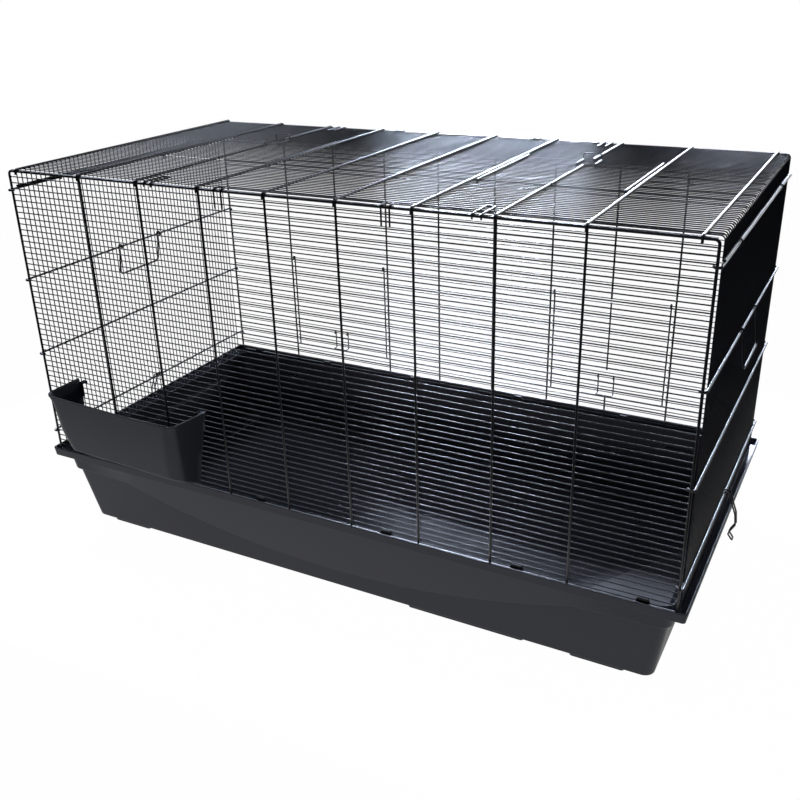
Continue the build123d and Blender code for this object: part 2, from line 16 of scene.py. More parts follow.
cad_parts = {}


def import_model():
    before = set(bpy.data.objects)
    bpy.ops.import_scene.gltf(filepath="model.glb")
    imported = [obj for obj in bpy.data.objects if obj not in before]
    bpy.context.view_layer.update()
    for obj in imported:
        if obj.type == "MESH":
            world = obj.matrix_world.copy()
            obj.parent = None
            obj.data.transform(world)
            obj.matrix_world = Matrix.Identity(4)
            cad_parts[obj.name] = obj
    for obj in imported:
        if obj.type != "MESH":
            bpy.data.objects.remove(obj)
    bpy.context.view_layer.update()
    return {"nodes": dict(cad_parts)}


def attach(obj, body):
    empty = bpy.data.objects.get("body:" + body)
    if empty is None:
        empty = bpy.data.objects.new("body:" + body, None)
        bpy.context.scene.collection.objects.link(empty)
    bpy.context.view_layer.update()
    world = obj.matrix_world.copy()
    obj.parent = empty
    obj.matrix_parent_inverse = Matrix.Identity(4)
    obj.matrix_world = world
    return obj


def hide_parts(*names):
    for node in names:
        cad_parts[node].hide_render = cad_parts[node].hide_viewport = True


log = logging.getLogger("cage")

MM = 0.001
WHITE = (1.0, 1.0, 1.0, 1.0)


class Panel(Enum):
    """The two long panels, with the way each one faces along Y."""

    FRONT = -1
    BACK = 1


class End(Enum):
    """The two short ends, with the way each one faces along X."""

    LEFT = -1
    RIGHT = 1


class DoorKind(Enum):
    """Where a door is hung."""

    ROOF = "top"
    REAR = "back"


@dataclass(frozen=True)
class CageSizes:
    """Main sizes of the cage, in metres, as the CAD model has them."""

    half_length: float = 488.0 * MM
    half_depth: float = 244.0 * MM
    rail_height: float = 131.0 * MM
    rise: float = 442.0 * MM
    bay: float = 101.4 * MM
    pitch: float = 8.5 * MM
    bar_radius: float = 0.8 * MM
    upright_radius: float = 1.5 * MM
    frame_radius: float = 1.7 * MM
    touch: float = 0.05 * MM
    side_play: float = 1.3 * MM
    end_wire: float = 16.2 * MM
    top_fold: float = 27.0 * MM
    handle_rise: float = 282.0 * MM
    middle_rise: float = 165.0 * MM
    clip_rise: float = 35.0 * MM
    back_hinge_row: int = 24
    back_door_rows: int = 19
    top_hinge_row: int = -9
    top_door_rows: int = 20
    mid_wire_short: float = 4.0 * MM
    door_gap: float = 0.35 * MM
    door_inset: float = 7.0 * MM

    @property
    def top(self) -> float:
        """Height of the top rail."""
        return self.rail_height + self.rise

    @property
    def bar_plane(self) -> float:
        """Distance of the long panels' bars from the middle."""
        return self.half_depth - self.frame_radius - self.bar_radius

    @property
    def cross_plane(self) -> float:
        """Distance of the side cross wires from the middle."""
        return self.half_length + self.frame_radius + self.upright_radius + self.touch + self.side_play

    @property
    def top_cross_z(self) -> float:
        """Height of the roof's cross wires."""
        return self.top + self.frame_radius + self.upright_radius + self.touch

    @property
    def fold_z(self) -> float:
        """Height of the wires that end the roof's folds."""
        return self.top - self.top_fold + 2.0 * self.upright_radius + self.touch

    @property
    def door_x(self) -> float:
        """Distance of each door's middle from the middle of the cage."""
        return 2.5 * self.bay

    @property
    def upright_x(self) -> np.ndarray:
        """Places of the uprights along the length."""
        return self.bay * (np.arange(8) - 3.5)

    @property
    def bar_y(self) -> np.ndarray:
        """Places of the roof's and the ends' bars across the depth."""
        return self.pitch * np.arange(-27, 28)


SIZES = CageSizes()

Value = Union["Shade", float, int]
Triple = tuple[float, float, float]
# Points, one row each, and the point numbers of each face
Mesh = tuple[np.ndarray, list[list[int]]]
# Crossings of wires, and the axis along which the wires lie on each other
Welds = tuple[np.ndarray, int]


class Shade:
    """A value socket of a node tree, whose arithmetic adds Math nodes."""

    def __init__(self, graph: "Graph", socket: bpy.types.NodeSocket) -> None:
        """Wrap the output socket that gives a value in a graph."""
        self.graph = graph
        self.socket = socket

    def _math(self, operation: str, first: Value, second: Value) -> "Shade":
        """Add one Math node and give its result."""
        node = self.graph.add("ShaderNodeMath", {0: first, 1: second}, operation=operation)
        return Shade(self.graph, node.outputs[0])

    def __add__(self, other: Value) -> "Shade":
        """Sum."""
        return self._math("ADD", self, other)

    def __radd__(self, other: Value) -> "Shade":
        """Sum, reflected."""
        return self._math("ADD", other, self)

    def __sub__(self, other: Value) -> "Shade":
        """Difference."""
        return self._math("SUBTRACT", self, other)

    def __rsub__(self, other: Value) -> "Shade":
        """Difference, reflected."""
        return self._math("SUBTRACT", other, self)

    def __mul__(self, other: Value) -> "Shade":
        """Product."""
        return self._math("MULTIPLY", self, other)

    def __rmul__(self, other: Value) -> "Shade":
        """Product, reflected."""
        return self._math("MULTIPLY", other, self)

    def clamp(self) -> "Shade":
        """The value held between 0 and 1."""
        node = self.graph.add("ShaderNodeClamp", {"Value": self})
        return Shade(self.graph, node.outputs[0])


class Graph:
    """The node tree of one material or world."""

    def __init__(self, owner: bpy.types.Material | bpy.types.World) -> None:
        """Start with an empty tree.

        Args:
            owner: The material or world.
        """
        owner.use_nodes = True
        self.owner = owner
        self.tree = owner.node_tree
        self.tree.nodes.clear()

    def add(self, kind: str, inputs: Mapping[Any, Any] | None = None, **settings: Any) -> bpy.types.Node:
        """Add any node.

        Args:
            kind: The node's type.
            inputs: Values or links of its sockets, by name or index.
            settings: Properties that are set first; stops fill a ramp.

        Returns:
            The new node.
        """
        node = self.tree.nodes.new(kind)
        for key, value in settings.items():
            if key == "stops":
                self._ramp(node, value)
            else:
                setattr(node, key, value)
        for key, value in (inputs or {}).items():
            value = value.socket if isinstance(value, Shade) else value
            if isinstance(value, bpy.types.NodeSocket):
                self.tree.links.new(value, node.inputs[key])
            else:
                node.inputs[key].default_value = value
        return node

    @staticmethod
    def _ramp(node: bpy.types.Node, stops: Sequence[tuple[float, float]]) -> None:
        """Give a colour ramp its grey stops.

        Args:
            node: The ramp.
            stops: Places and grey levels.
        """
        elements = node.color_ramp.elements
        while len(elements) < len(stops):
            elements.new(0.5)
        for element, (place, grey) in zip(elements, stops):
            element.position = place
            element.color = (grey, grey, grey, 1.0)

    def noise(self, scale: float, detail: float = 2.0, rough: float = 0.5) -> Shade:
        """Noise on the piece's own coordinates.

        Args:
            scale: Waves per metre.
            detail: Octaves.
            rough: How strong the finer octaves are.

        Returns:
            The noise, about 0 to 1.
        """
        place = self.add("ShaderNodeTexCoord").outputs["Object"]
        inputs = {"Vector": place, "Scale": scale, "Detail": detail, "Roughness": rough}
        return Shade(self, self.add("ShaderNodeTexNoise", inputs).outputs["Fac"])

    def ramp(self, value: Shade, stops: Sequence[tuple[float, float]]) -> Shade:
        """A value carried through a ramp, whose stops are places and grey levels."""
        node = self.add("ShaderNodeValToRGB", {"Fac": value}, stops=stops)
        return Shade(self, node.outputs["Color"])

    def blend(self, factor: Shade, first: Any, second: Any) -> bpy.types.NodeSocket:
        """A colour between two linear colours or sockets: 0 gives the first, 1 the second."""
        inputs = {"Factor": factor, 6: self.paint(first), 7: self.paint(second)}
        return self.add("ShaderNodeMix", inputs, data_type="RGBA").outputs[2]

    @staticmethod
    def paint(colour: Any) -> Any:
        """A colour with its alpha, or a socket as it is."""
        if isinstance(colour, bpy.types.NodeSocket):
            return colour
        return (*colour, 1.0)

    def upward(self) -> Shade:
        """How far a surface faces up, -1 to 1."""
        normal = self.add("ShaderNodeNewGeometry").outputs["Normal"]
        split = self.add("ShaderNodeSeparateXYZ", {0: normal})
        return Shade(self, split.outputs["Z"])

    def pointed(self) -> Shade:
        """How far a surface bulges, over 0.5 on outer edges."""
        return Shade(self, self.add("ShaderNodeNewGeometry").outputs["Pointiness"])

    def bump(self, height: Shade, strength: float, distance: float) -> bpy.types.NodeSocket:
        """Normals of a fine relief, so many metres deep."""
        inputs = {"Strength": strength, "Distance": distance, "Height": height}
        return self.add("ShaderNodeBump", inputs).outputs[0]

    def surface(self, inputs: Mapping[str, Any]) -> bpy.types.Material:
        """Close the graph with one Principled surface.

        Args:
            inputs: Its sockets.

        Returns:
            The material.
        """
        shader = self.add("ShaderNodeBsdfPrincipled", inputs)
        self.add("ShaderNodeOutputMaterial", {"Surface": shader.outputs[0]})
        return self.owner


@dataclass(frozen=True)
class MouldedPlastic:
    """Satin injection-moulded plastic: fine spark grain, faint flow clouds and handling scuffs.

    Level faces come polished from the tool, and edges are rubbed duller; their colour is painted paler
    there as a painted edge highlight.
    """

    name: str
    colour: Triple
    pale: Triple
    # colour of convex edges: a painted edge highlight
    edge: Triple
    roughness: float
    specular: float
    grain_depth: float = 0.05 * MM
    grain_scale: float = 1500.0
    polish: float = 0.28
    rubbed: float = 0.25

    def material(self) -> bpy.types.Material:
        """Build the finish.

        Returns:
            The material.
        """
        graph = Graph(bpy.data.materials.new(self.name))
        grain = graph.noise(self.grain_scale, 3.0, 0.6)
        cloud = graph.noise(5.0, 3.0, 0.55)
        scuff = graph.ramp(graph.noise(120.0, 6.0, 0.75), [(0.6, 0.0), (0.74, 1.0)])
        scuff = scuff * graph.ramp(graph.noise(9.0), [(0.5, 0.0), (0.68, 1.0)])
        tone = (cloud * 0.55 + grain * 0.2 + scuff * 0.25).clamp()
        level = graph.ramp(graph.upward(), [(0.997, 0.0), (0.9995, 1.0)])
        # mask of convex edges, where a painted highlight pales the colour and the roughness rises
        edge = graph.ramp(graph.pointed(), [(0.53, 0.0), (0.62, 1.0)])
        rough = self.roughness - 0.05 + cloud * 0.1 + grain * 0.05 + scuff * 0.06
        rough = rough - level * self.polish + edge * self.rubbed
        body = graph.blend(tone, self.colour, self.pale)
        return graph.surface(
            {
                # convex edges take the paler edge colour, a painted edge highlight
                "Base Color": graph.blend(edge, body, self.edge),
                "Roughness": rough,
                "Normal": graph.bump(grain, 0.6, self.grain_depth),
                "Specular IOR Level": self.specular,
            }
        )


@dataclass(frozen=True)
class WireEnamel:
    """Glossy stove enamel on wire: a slight orange peel, and a little dust on what faces up."""

    name: str
    colour: Triple
    dust: Triple
    roughness: float
    specular: float = 0.6
    coat: float = 0.3
    coat_roughness: float = 0.24
    peel_depth: float = 0.04 * MM
    peel_scale: float = 700.0

    def material(self) -> bpy.types.Material:
        """Build the finish.

        Returns:
            The material.
        """
        graph = Graph(bpy.data.materials.new(self.name))
        peel = graph.noise(self.peel_scale)
        patch = graph.noise(14.0, 3.0, 0.6)
        facing = graph.ramp(graph.upward(), [(0.35, 0.0), (1.0, 1.0)])
        dust = (facing * graph.ramp(patch, [(0.42, 0.15), (0.7, 0.8)])).clamp()
        rough = self.roughness + patch * 0.06 + dust * 0.08
        return graph.surface(
            {
                "Base Color": graph.blend(dust, self.colour, self.dust),
                "Roughness": rough,
                "Normal": graph.bump(peel, 0.03, self.peel_depth),
                "Specular IOR Level": self.specular,
                "Coat Weight": self.coat,
                "Coat Roughness": self.coat_roughness,
            }
        )


CHARCOAL = MouldedPlastic(
    "charcoal_plastic",
    colour=(0.023, 0.024, 0.031),
    pale=(0.032, 0.033, 0.042),
    # painted edge highlight on convex edges
    edge=(0.05, 0.052, 0.06),
    roughness=0.38,
    specular=0.24,
)
BLACK_TAB = MouldedPlastic(
    "black_tab_plastic",
    colour=(0.006, 0.006, 0.007),
    pale=(0.012, 0.012, 0.013),
    # painted edge highlight on convex edges
    edge=(0.02, 0.02, 0.022),
    roughness=0.5,
    specular=0.08,
)
ENAMEL = WireEnamel("black_enamel", (0.006, 0.006, 0.008), (0.018, 0.018, 0.022), 0.26)


def rounded_polyline(points: np.ndarray, radii: np.ndarray, steps: int) -> np.ndarray:
    """Round the inner corners of one or many open lines.

    Each corner gives way to an arc tangent to both runs: the arc starts at r / tan(half angle) from the
    corner, or at 45 % of the shorter run where that is less. Its centre lies on the bisector, and its
    points are spherical blends of the two spokes.

    Args:
        points: Corners along the axis before the last, with any axes in front.
        radii: One radius per inner corner.
        steps: Points on each arc.

    Returns:
        The rounded lines, with the same axes.
    """
    corner = points[..., 1:-1, :]
    back = points[..., :-2, :] - corner
    ahead = points[..., 2:, :] - corner
    back_run = np.linalg.norm(back, axis=-1)
    ahead_run = np.linalg.norm(ahead, axis=-1)
    back = back / back_run[..., None]
    ahead = ahead / ahead_run[..., None]
    half = 0.5 * np.arccos(np.clip((back * ahead).sum(-1), -0.9999, 0.9999))
    reach = np.minimum(radii / np.tan(half), 0.45 * np.minimum(back_run, ahead_run))
    bisector = back + ahead
    bisector = bisector / np.linalg.norm(bisector, axis=-1, keepdims=True)
    centre = corner + bisector * (reach / np.cos(half))[..., None]
    first = (corner + back * reach[..., None] - centre)[..., None, :]
    last = (corner + ahead * reach[..., None] - centre)[..., None, :]
    turn = (np.pi - 2.0 * half)[..., None, None]
    share = np.linspace(0.0, 1.0, steps)[:, None]
    arcs = np.sin((1.0 - share) * turn) * first + np.sin(share * turn) * last
    arcs = centre[..., None, :] + arcs / np.sin(turn)
    arcs = arcs.reshape(*points.shape[:-2], -1, points.shape[-1])
    return np.concatenate([points[..., :1, :], arcs, points[..., -1:, :]], axis=-2)


def dense(lines: np.ndarray, longest: float, guard: float = 0.3 * MM) -> np.ndarray:
    """Add points to one or many lines so that no run is longer than a given length.

    A point close to each end of a long run keeps flat faces flat in smooth shading.

    Args:
        lines: Points along the axis before the last, with any axes in front.
        longest: Longest run allowed.
        guard: How far from the ends of a long run its guard points lie.

    Returns:
        The lines, all with the same number of extra points on their long runs.
    """
    runs = np.linalg.norm(np.diff(lines, axis=-2), axis=-1)
    runs = runs.reshape(-1, runs.shape[-1]).max(0)
    counts = np.maximum(np.ceil(runs / longest), 1).astype(int)
    at = np.concatenate([[0.0], np.repeat(1.0 / counts, counts).cumsum()])
    long = np.flatnonzero(runs > 8.0 * guard)
    near = guard / runs[long]
    at = np.sort(np.concatenate([at, long + near, long + 1.0 - near]))
    low = np.minimum((at + 1e-9).astype(int), lines.shape[-2] - 2)
    share = np.clip(at - low, 0.0, 1.0)[:, None]
    return lines[..., low, :] * (1.0 - share) + lines[..., low + 1, :] * share


def grid_faces(rows: int, columns: int, closed: bool) -> np.ndarray:
    """Quads of a grid of points stored row by row.

    Args:
        rows: Number of rows.
        columns: Points in a row.
        closed: Whether each row joins its own start.

    Returns:
        Four point numbers for each quad.
    """
    row = np.arange(rows - 1)[:, None] * columns
    step = np.arange(columns if closed else columns - 1)[None, :]
    after = (step + 1) % columns
    quads = np.stack([row + step, row + after, row + columns + after, row + columns + step], axis=-1)
    return quads.reshape(-1, 4)


def signed_volume(points: np.ndarray, faces: Sequence[Sequence[int]]) -> float:
    """Volume inside a closed mesh, negative when its faces point inward.

    Args:
        points: Vertices, one row each.
        faces: Vertex numbers of each face.

    Returns:
        A sixth of the summed triple products of the fan triangles.
    """
    total = 0.0
    for size in sorted({len(face) for face in faces}):
        group = np.array([face for face in faces if len(face) == size])
        first = points[group[:, 0]][:, None]
        second = points[group[:, 1:-1]]
        third = points[group[:, 2:]]
        total += float((first * np.cross(second, third)).sum())
    return total / 6.0


def capped_tube(rings: np.ndarray) -> Mesh:
    """Close a stack of rings with a face at each end, all facing outward.

    Args:
        rings: Points, rings by samples by three.

    Returns:
        The closed mesh.
    """
    rows, columns = rings.shape[:2]
    faces = grid_faces(rows, columns, True).tolist()
    faces.append(list(range(columns))[::-1])
    faces.append(list(range((rows - 1) * columns, rows * columns)))
    points = rings.reshape(-1, 3)
    if signed_volume(points - points.mean(0), faces) < 0.0:
        faces = [face[::-1] for face in faces]
    return points, faces


def joined(blocks: Sequence[Mesh]) -> Mesh:
    """Several blocks as one mesh.

    Args:
        blocks: The blocks.

    Returns:
        All points and all faces, numbered anew.
    """
    starts = np.cumsum([0] + [len(points) for points, _ in blocks])
    faces = []
    for (_, block), start in zip(blocks, starts):
        faces += [[number + start for number in face] for face in block]
    return np.vstack([points for points, _ in blocks]), faces


def show(thing: bpy.types.Object) -> None:
    """Link an object to the scene."""
    bpy.context.scene.collection.objects.link(thing)


def soften(piece: bpy.types.Object, width: float) -> bpy.types.Modifier:
    """Give a piece's edges a small bevel.

    Args:
        piece: The piece.
        width: How wide the bevel is.

    Returns:
        The modifier.
    """
    bevel = piece.modifiers.new("soft_edge", "BEVEL")
    bevel.width = width
    bevel.segments = 2
    return bevel


def upright(plan: np.ndarray, height: np.ndarray) -> np.ndarray:
    """Give plan points, rows by samples by two, their heights."""
    tall = np.broadcast_to(height, plan.shape[:2])
    return np.concatenate([plan, tall[..., None]], axis=-1)


def make_piece(
    name: str,
    points: np.ndarray,
    faces: Sequence[Sequence[int]],
    material: bpy.types.Material,
    sharp: float = 40.0,
) -> bpy.types.Object:
    """Make a smooth-shaded object whose place is in its mesh.

    Args:
        name: The piece's name.
        points: Vertices in metres.
        faces: Vertex numbers of each face.
        material: Its finish.
        sharp: Edges that turn more than this many degrees stay crisp.

    Returns:
        The object, linked to the scene.
    """
    mesh = bpy.data.meshes.new(name)
    mesh.from_pydata(points.tolist(), [], [list(map(int, face)) for face in faces])
    mesh.update()
    mesh.shade_smooth()
    mesh.set_sharp_from_angle(angle=math.radians(sharp))
    mesh.materials.append(material)
    piece = bpy.data.objects.new(name, mesh)
    show(piece)
    return piece


@dataclass(frozen=True)
class RoundedPath:
    """Samples round a rectangle with rounded corners, counter-clockwise from the front left."""

    long_steps: int
    short_steps: int
    corner_steps: int

    def samples(self) -> tuple[np.ndarray, np.ndarray, np.ndarray]:
        """Corner shares along X and Y and the outward angle of each sample.

        A point is share * (half size - corner radius) + corner radius * (cos, sin) of its angle; along a
        straight side the share runs evenly from one corner to the next.

        Returns:
            Shares along X, shares along Y and angles.
        """
        corners = np.array([(-1, -1), (1, -1), (1, 1), (-1, 1), (-1, -1)], float)
        shares, angles = [], []
        for side in range(4):
            steps = self.long_steps if side % 2 == 0 else self.short_steps
            along = np.linspace(0.0, 1.0, steps + 1)[1:-1, None]
            start = 90.0 * side - 90.0
            shares.append(corners[side] + along * (corners[side + 1] - corners[side]))
            angles.append(np.full(steps - 1, start))
            shares.append(np.repeat(corners[side + 1][None], self.corner_steps + 1, axis=0))
            angles.append(np.linspace(start, start + 90.0, self.corner_steps + 1))
        share = np.vstack(shares)
        return share[:, 0], share[:, 1], np.radians(np.concatenate(angles))

    def rings(self, half_x: np.ndarray, half_y: np.ndarray, radius: np.ndarray) -> np.ndarray:
        """Points of many rings at once.

        Args:
            half_x: Half length of each ring, rings by one or by samples.
            half_y: Half depth, likewise.
            radius: Corner radius, likewise.

        Returns:
            Plan points, rings by samples by two.
        """
        share_x, share_y, angle = self.samples()
        x = share_x * (half_x - radius) + np.cos(angle) * radius
        y = share_y * (half_y - radius) + np.sin(angle) * radius
        return np.stack([x, y], axis=-1)


@dataclass
class Tray:
    """The moulded tub, with its rim, groove, collar, bowed long walls and feet.

    The bends are the roundings of its section's corners, in millimetres, in the order of their stations.
    """

    finish: MouldedPlastic = CHARCOAL
    rim_x: float = 501.0 * MM
    rim_y: float = 250.5 * MM
    rim_corner: float = 6.0 * MM
    rim_wall: float = 2.5 * MM
    rim_draft: float = 1.8 * MM
    rim_top: float = 135.0 * MM
    skirt_low: float = 121.6 * MM
    flange_top: float = 129.0 * MM
    flange_low: float = 125.5 * MM
    collar_ends: float = 19.5 * MM
    collar_front: float = 15.0 * MM
    collar_corner: float = 17.0 * MM
    collar_draft: float = 3.0 * MM
    ledge_height: float = 96.0 * MM
    ledge_step: float = 5.0 * MM
    draft: float = 14.0 * MM
    body_corner: float = 14.0 * MM
    wall: float = 3.0 * MM
    foot_height: float = 4.0 * MM
    shelf_lip: float = 1.0 * MM
    floor_strip: float = 14.0 * MM
    longest_run: float = 9.0 * MM
    outer_bends: tuple[float, ...] = (3.0, 0.8, 1.6, 1.0, 0.4, 0.3, 0.8, 1.0)
    inner_bends: tuple[float, ...] = (1.0, 1.0, 1.2, 0.8, 0.6, 1.2, 1.2, 4.0)
    arc_low: float = 33.0 * MM
    arc_half: float = 376.0 * MM
    bow_flat: float = 350.0 * MM
    bow_half: float = 464.0 * MM
    bow_lean: float = 29.0 * MM
    foot_width: float = 9.0 * MM
    foot_inset: float = 2.0 * MM
    foot_sink: float = 1.4 * MM
    foot_edge: float = 1.2 * MM
    foot_sole: float = 3.0 * MM
    foot_flat: float = 0.05 * MM
    foot_least: float = 0.4 * MM
    end_foot_length: float = 73.0 * MM
    end_foot_inset: float = 36.0 * MM
    mid_foot_length: float = 172.0 * MM
    mid_foot_x: float = 204.0 * MM
    centre_foot_width: float = 24.0 * MM
    path: RoundedPath = field(default_factory=lambda: RoundedPath(190, 52, 12))

    @property
    def collar(self) -> np.ndarray:
        """Insets of the collar's foot along X and Y."""
        return np.array([self.collar_ends, self.collar_front])

    @property
    def bottom(self) -> np.ndarray:
        """Insets of the bottom edge along X and Y."""
        return self.collar + self.ledge_step + self.draft

    @property
    def along(self) -> np.ndarray:
        """Distance of each sample from the middle, along X."""
        return np.abs(self.path.samples()[0]) * (self.rim_x - self.collar_corner)

    def step_height(self) -> np.ndarray:
        """Height of the step under collar and bow, for each sample round the tray.

        Along the long sides it is a parabola, low + (ledge - low) * (x / half)^2, held at the ledge
        beyond its ends; elsewhere it is the ledge.

        Returns:
            Heights.
        """
        part = np.clip(self.along / self.arc_half, 0.0, 1.0)
        arc = self.arc_low + (self.ledge_height - self.arc_low) * part**2
        on_long_side = np.abs(self.path.samples()[1]) > 0.999
        return np.where(on_long_side, arc, self.ledge_height)

    def upper(self, height: np.ndarray) -> np.ndarray:
        """Inset of the wall above the step, for each sample.

        At the ends it is the collar, which widens evenly up to the flange. Along the long sides the wall
        leans in from the rim by lean * (rim top - height) / (rim top - arc low), and it gives way to the
        collar near the corners.

        Args:
            height: Height at each sample.

        Returns:
            Insets along X and Y.
        """
        near = np.clip((self.along - self.bow_flat) / (self.bow_half - self.bow_flat), 0.0, 1.0)
        near = near * near * (3.0 - 2.0 * near)
        lean = self.bow_lean * (self.rim_top - height) / (self.rim_top - self.arc_low)
        rise = (height - self.ledge_height) / (self.flange_low - self.ledge_height)
        spread = self.collar_draft * np.clip(rise, 0.0, 1.0)
        front = near * (self.collar_front - spread) + (1.0 - near) * lean
        return np.stack([self.collar_ends - spread, front], axis=-1)

    def lower(self, height: np.ndarray) -> np.ndarray:
        """Insets along X and Y of the drafted body below the step, for a height at each sample."""
        fall = self.draft * (self.ledge_height - height) / (self.ledge_height - self.foot_height)
        return self.collar + (fall + self.ledge_step)[:, None]

    def profile(self, stations: Sequence[tuple[Any, Any]], bends: Sequence[float]) -> np.ndarray:
        """Round one section of the tray and carry it round the rim.

        The corner radius of a ring goes with its inset, from the rim's to the body's.

        Args:
            stations: Insets and height of each corner of the section, a number or one per sample.
            bends: Rounding of the inner corners, in millimetres.

        Returns:
            Points, rings by samples by three.
        """
        count = len(self.path.samples()[0])
        corners = []
        for inset, height in stations:
            plan = np.broadcast_to(inset, (count, 2))
            corners.append(np.column_stack([plan, np.broadcast_to(height, count)]))
        lines = rounded_polyline(np.stack(corners, axis=1), np.array(bends) * MM, 6)
        lines = dense(lines, self.longest_run).swapaxes(0, 1)
        end_inset, front_inset, height = np.moveaxis(lines, -1, 0)
        knots = [0.0, self.rim_wall, self.collar_ends, self.collar_ends + self.ledge_step]
        radii = [self.rim_corner, self.rim_corner - self.rim_wall, self.collar_corner, self.body_corner]
        radius = np.interp(end_inset, knots, radii)
        plan = self.path.rings(self.rim_x - end_inset, self.rim_y - front_inset, radius)
        return upright(plan, height)

    def outside(self) -> np.ndarray:
        """The outside from under the floor up to the top of the rim.

        Returns:
            Points, rings by samples by three.
        """
        step = self.step_height()
        under = np.full_like(step, self.flange_low)
        stations = [
            (self.bottom + self.floor_strip, self.foot_height),
            (self.bottom, self.foot_height),
            (self.lower(step), step),
            (self.upper(step), step),
            (self.upper(under), under),
            (self.rim_wall, self.flange_low),
            (self.rim_wall, self.skirt_low),
            (self.rim_draft, self.skirt_low),
            (0.0, self.rim_top),
            (self.rim_wall / 2, self.rim_top),
        ]
        return self.profile(stations, self.outer_bends)

    def inside(self) -> np.ndarray:
        """The inside from the top of the rim, over the groove, down to the floor.

        Returns:
            Points, rings by samples by three.
        """
        step = self.step_height() + self.wall
        under = np.full_like(step, self.flange_low)
        shelf = self.collar - self.collar_draft + self.wall + self.shelf_lip
        base = self.foot_height + self.wall
        floor = self.lower(np.full_like(step, base)) + self.wall
        stations = [
            (self.rim_wall / 2, self.rim_top),
            (self.rim_wall, self.rim_top),
            (self.rim_wall, self.flange_top),
            (shelf, self.flange_top),
            (shelf, self.flange_low),
            (self.upper(under) + self.wall, under),
            (self.upper(step) + self.wall, step),
            (self.lower(step) + self.wall, step),
            (floor, base),
            (floor + self.floor_strip, base),
        ]
        return self.profile(stations, self.inner_bends)

    def shell(self) -> Mesh:
        """The tub: outside and inside as one stack of rings, closed under and over the floor."""
        return capped_tube(np.concatenate([self.outside(), self.inside()[1:]]))

    def feet(self) -> Mesh:
        """The moulded feet, each a long pad with a softened sole.

        Returns:
            All pads as one mesh.
        """
        edge_x, edge_y = np.array([self.rim_x, self.rim_y]) - self.bottom
        foot_y = edge_y - self.foot_width / 2 - self.foot_inset
        end_x = edge_x - self.end_foot_inset - self.end_foot_length / 2
        pads = []
        for way in (-1, 1):
            pads.append((-end_x, way * foot_y, self.end_foot_length, self.foot_width))
            pads.append((end_x, way * foot_y, self.end_foot_length, self.foot_width))
            pads.append((-way * self.mid_foot_x, way * foot_y, self.mid_foot_length, self.foot_width))
        pads.append((0.0, 0.0, self.mid_foot_length, self.centre_foot_width))
        section = np.array([(self.foot_sole, 0.0), (0.0, 0.0), (0.0, self.foot_height + self.foot_sink)])
        inset, height = rounded_polyline(section, np.array([self.foot_edge]), 5).T[..., None]
        path = RoundedPath(8, 2, 8)
        blocks = []
        for x, y, length, width in pads:
            radius = np.maximum(width / 2 - self.foot_flat - inset, self.foot_least)
            plan = path.rings(length / 2 - inset, width / 2 - inset, radius) + np.array([x, y])
            blocks.append(capped_tube(upright(plan, height)))
        return joined(blocks)

    def build(self) -> list[bpy.types.Object]:
        """Build and place the tray.

        Returns:
            Its pieces.
        """
        material = self.finish.material()
        shell = make_piece("tray_shell", *self.shell(), material, 50.0)
        feet = make_piece("tray_feet", *self.feet(), material, 50.0)
        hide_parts("tray")
        for piece in (shell, feet):
            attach(piece, "tray")
        return [shell, feet]


@dataclass(frozen=True)
class RackLevel:
    """One level of the hay rack, in millimetres.

    The ends reach left, right at the front, and right at the back, from the rack's middle.
    """

    down: float
    left: float
    right: float
    right_back: float
    depth: float
    corner: float


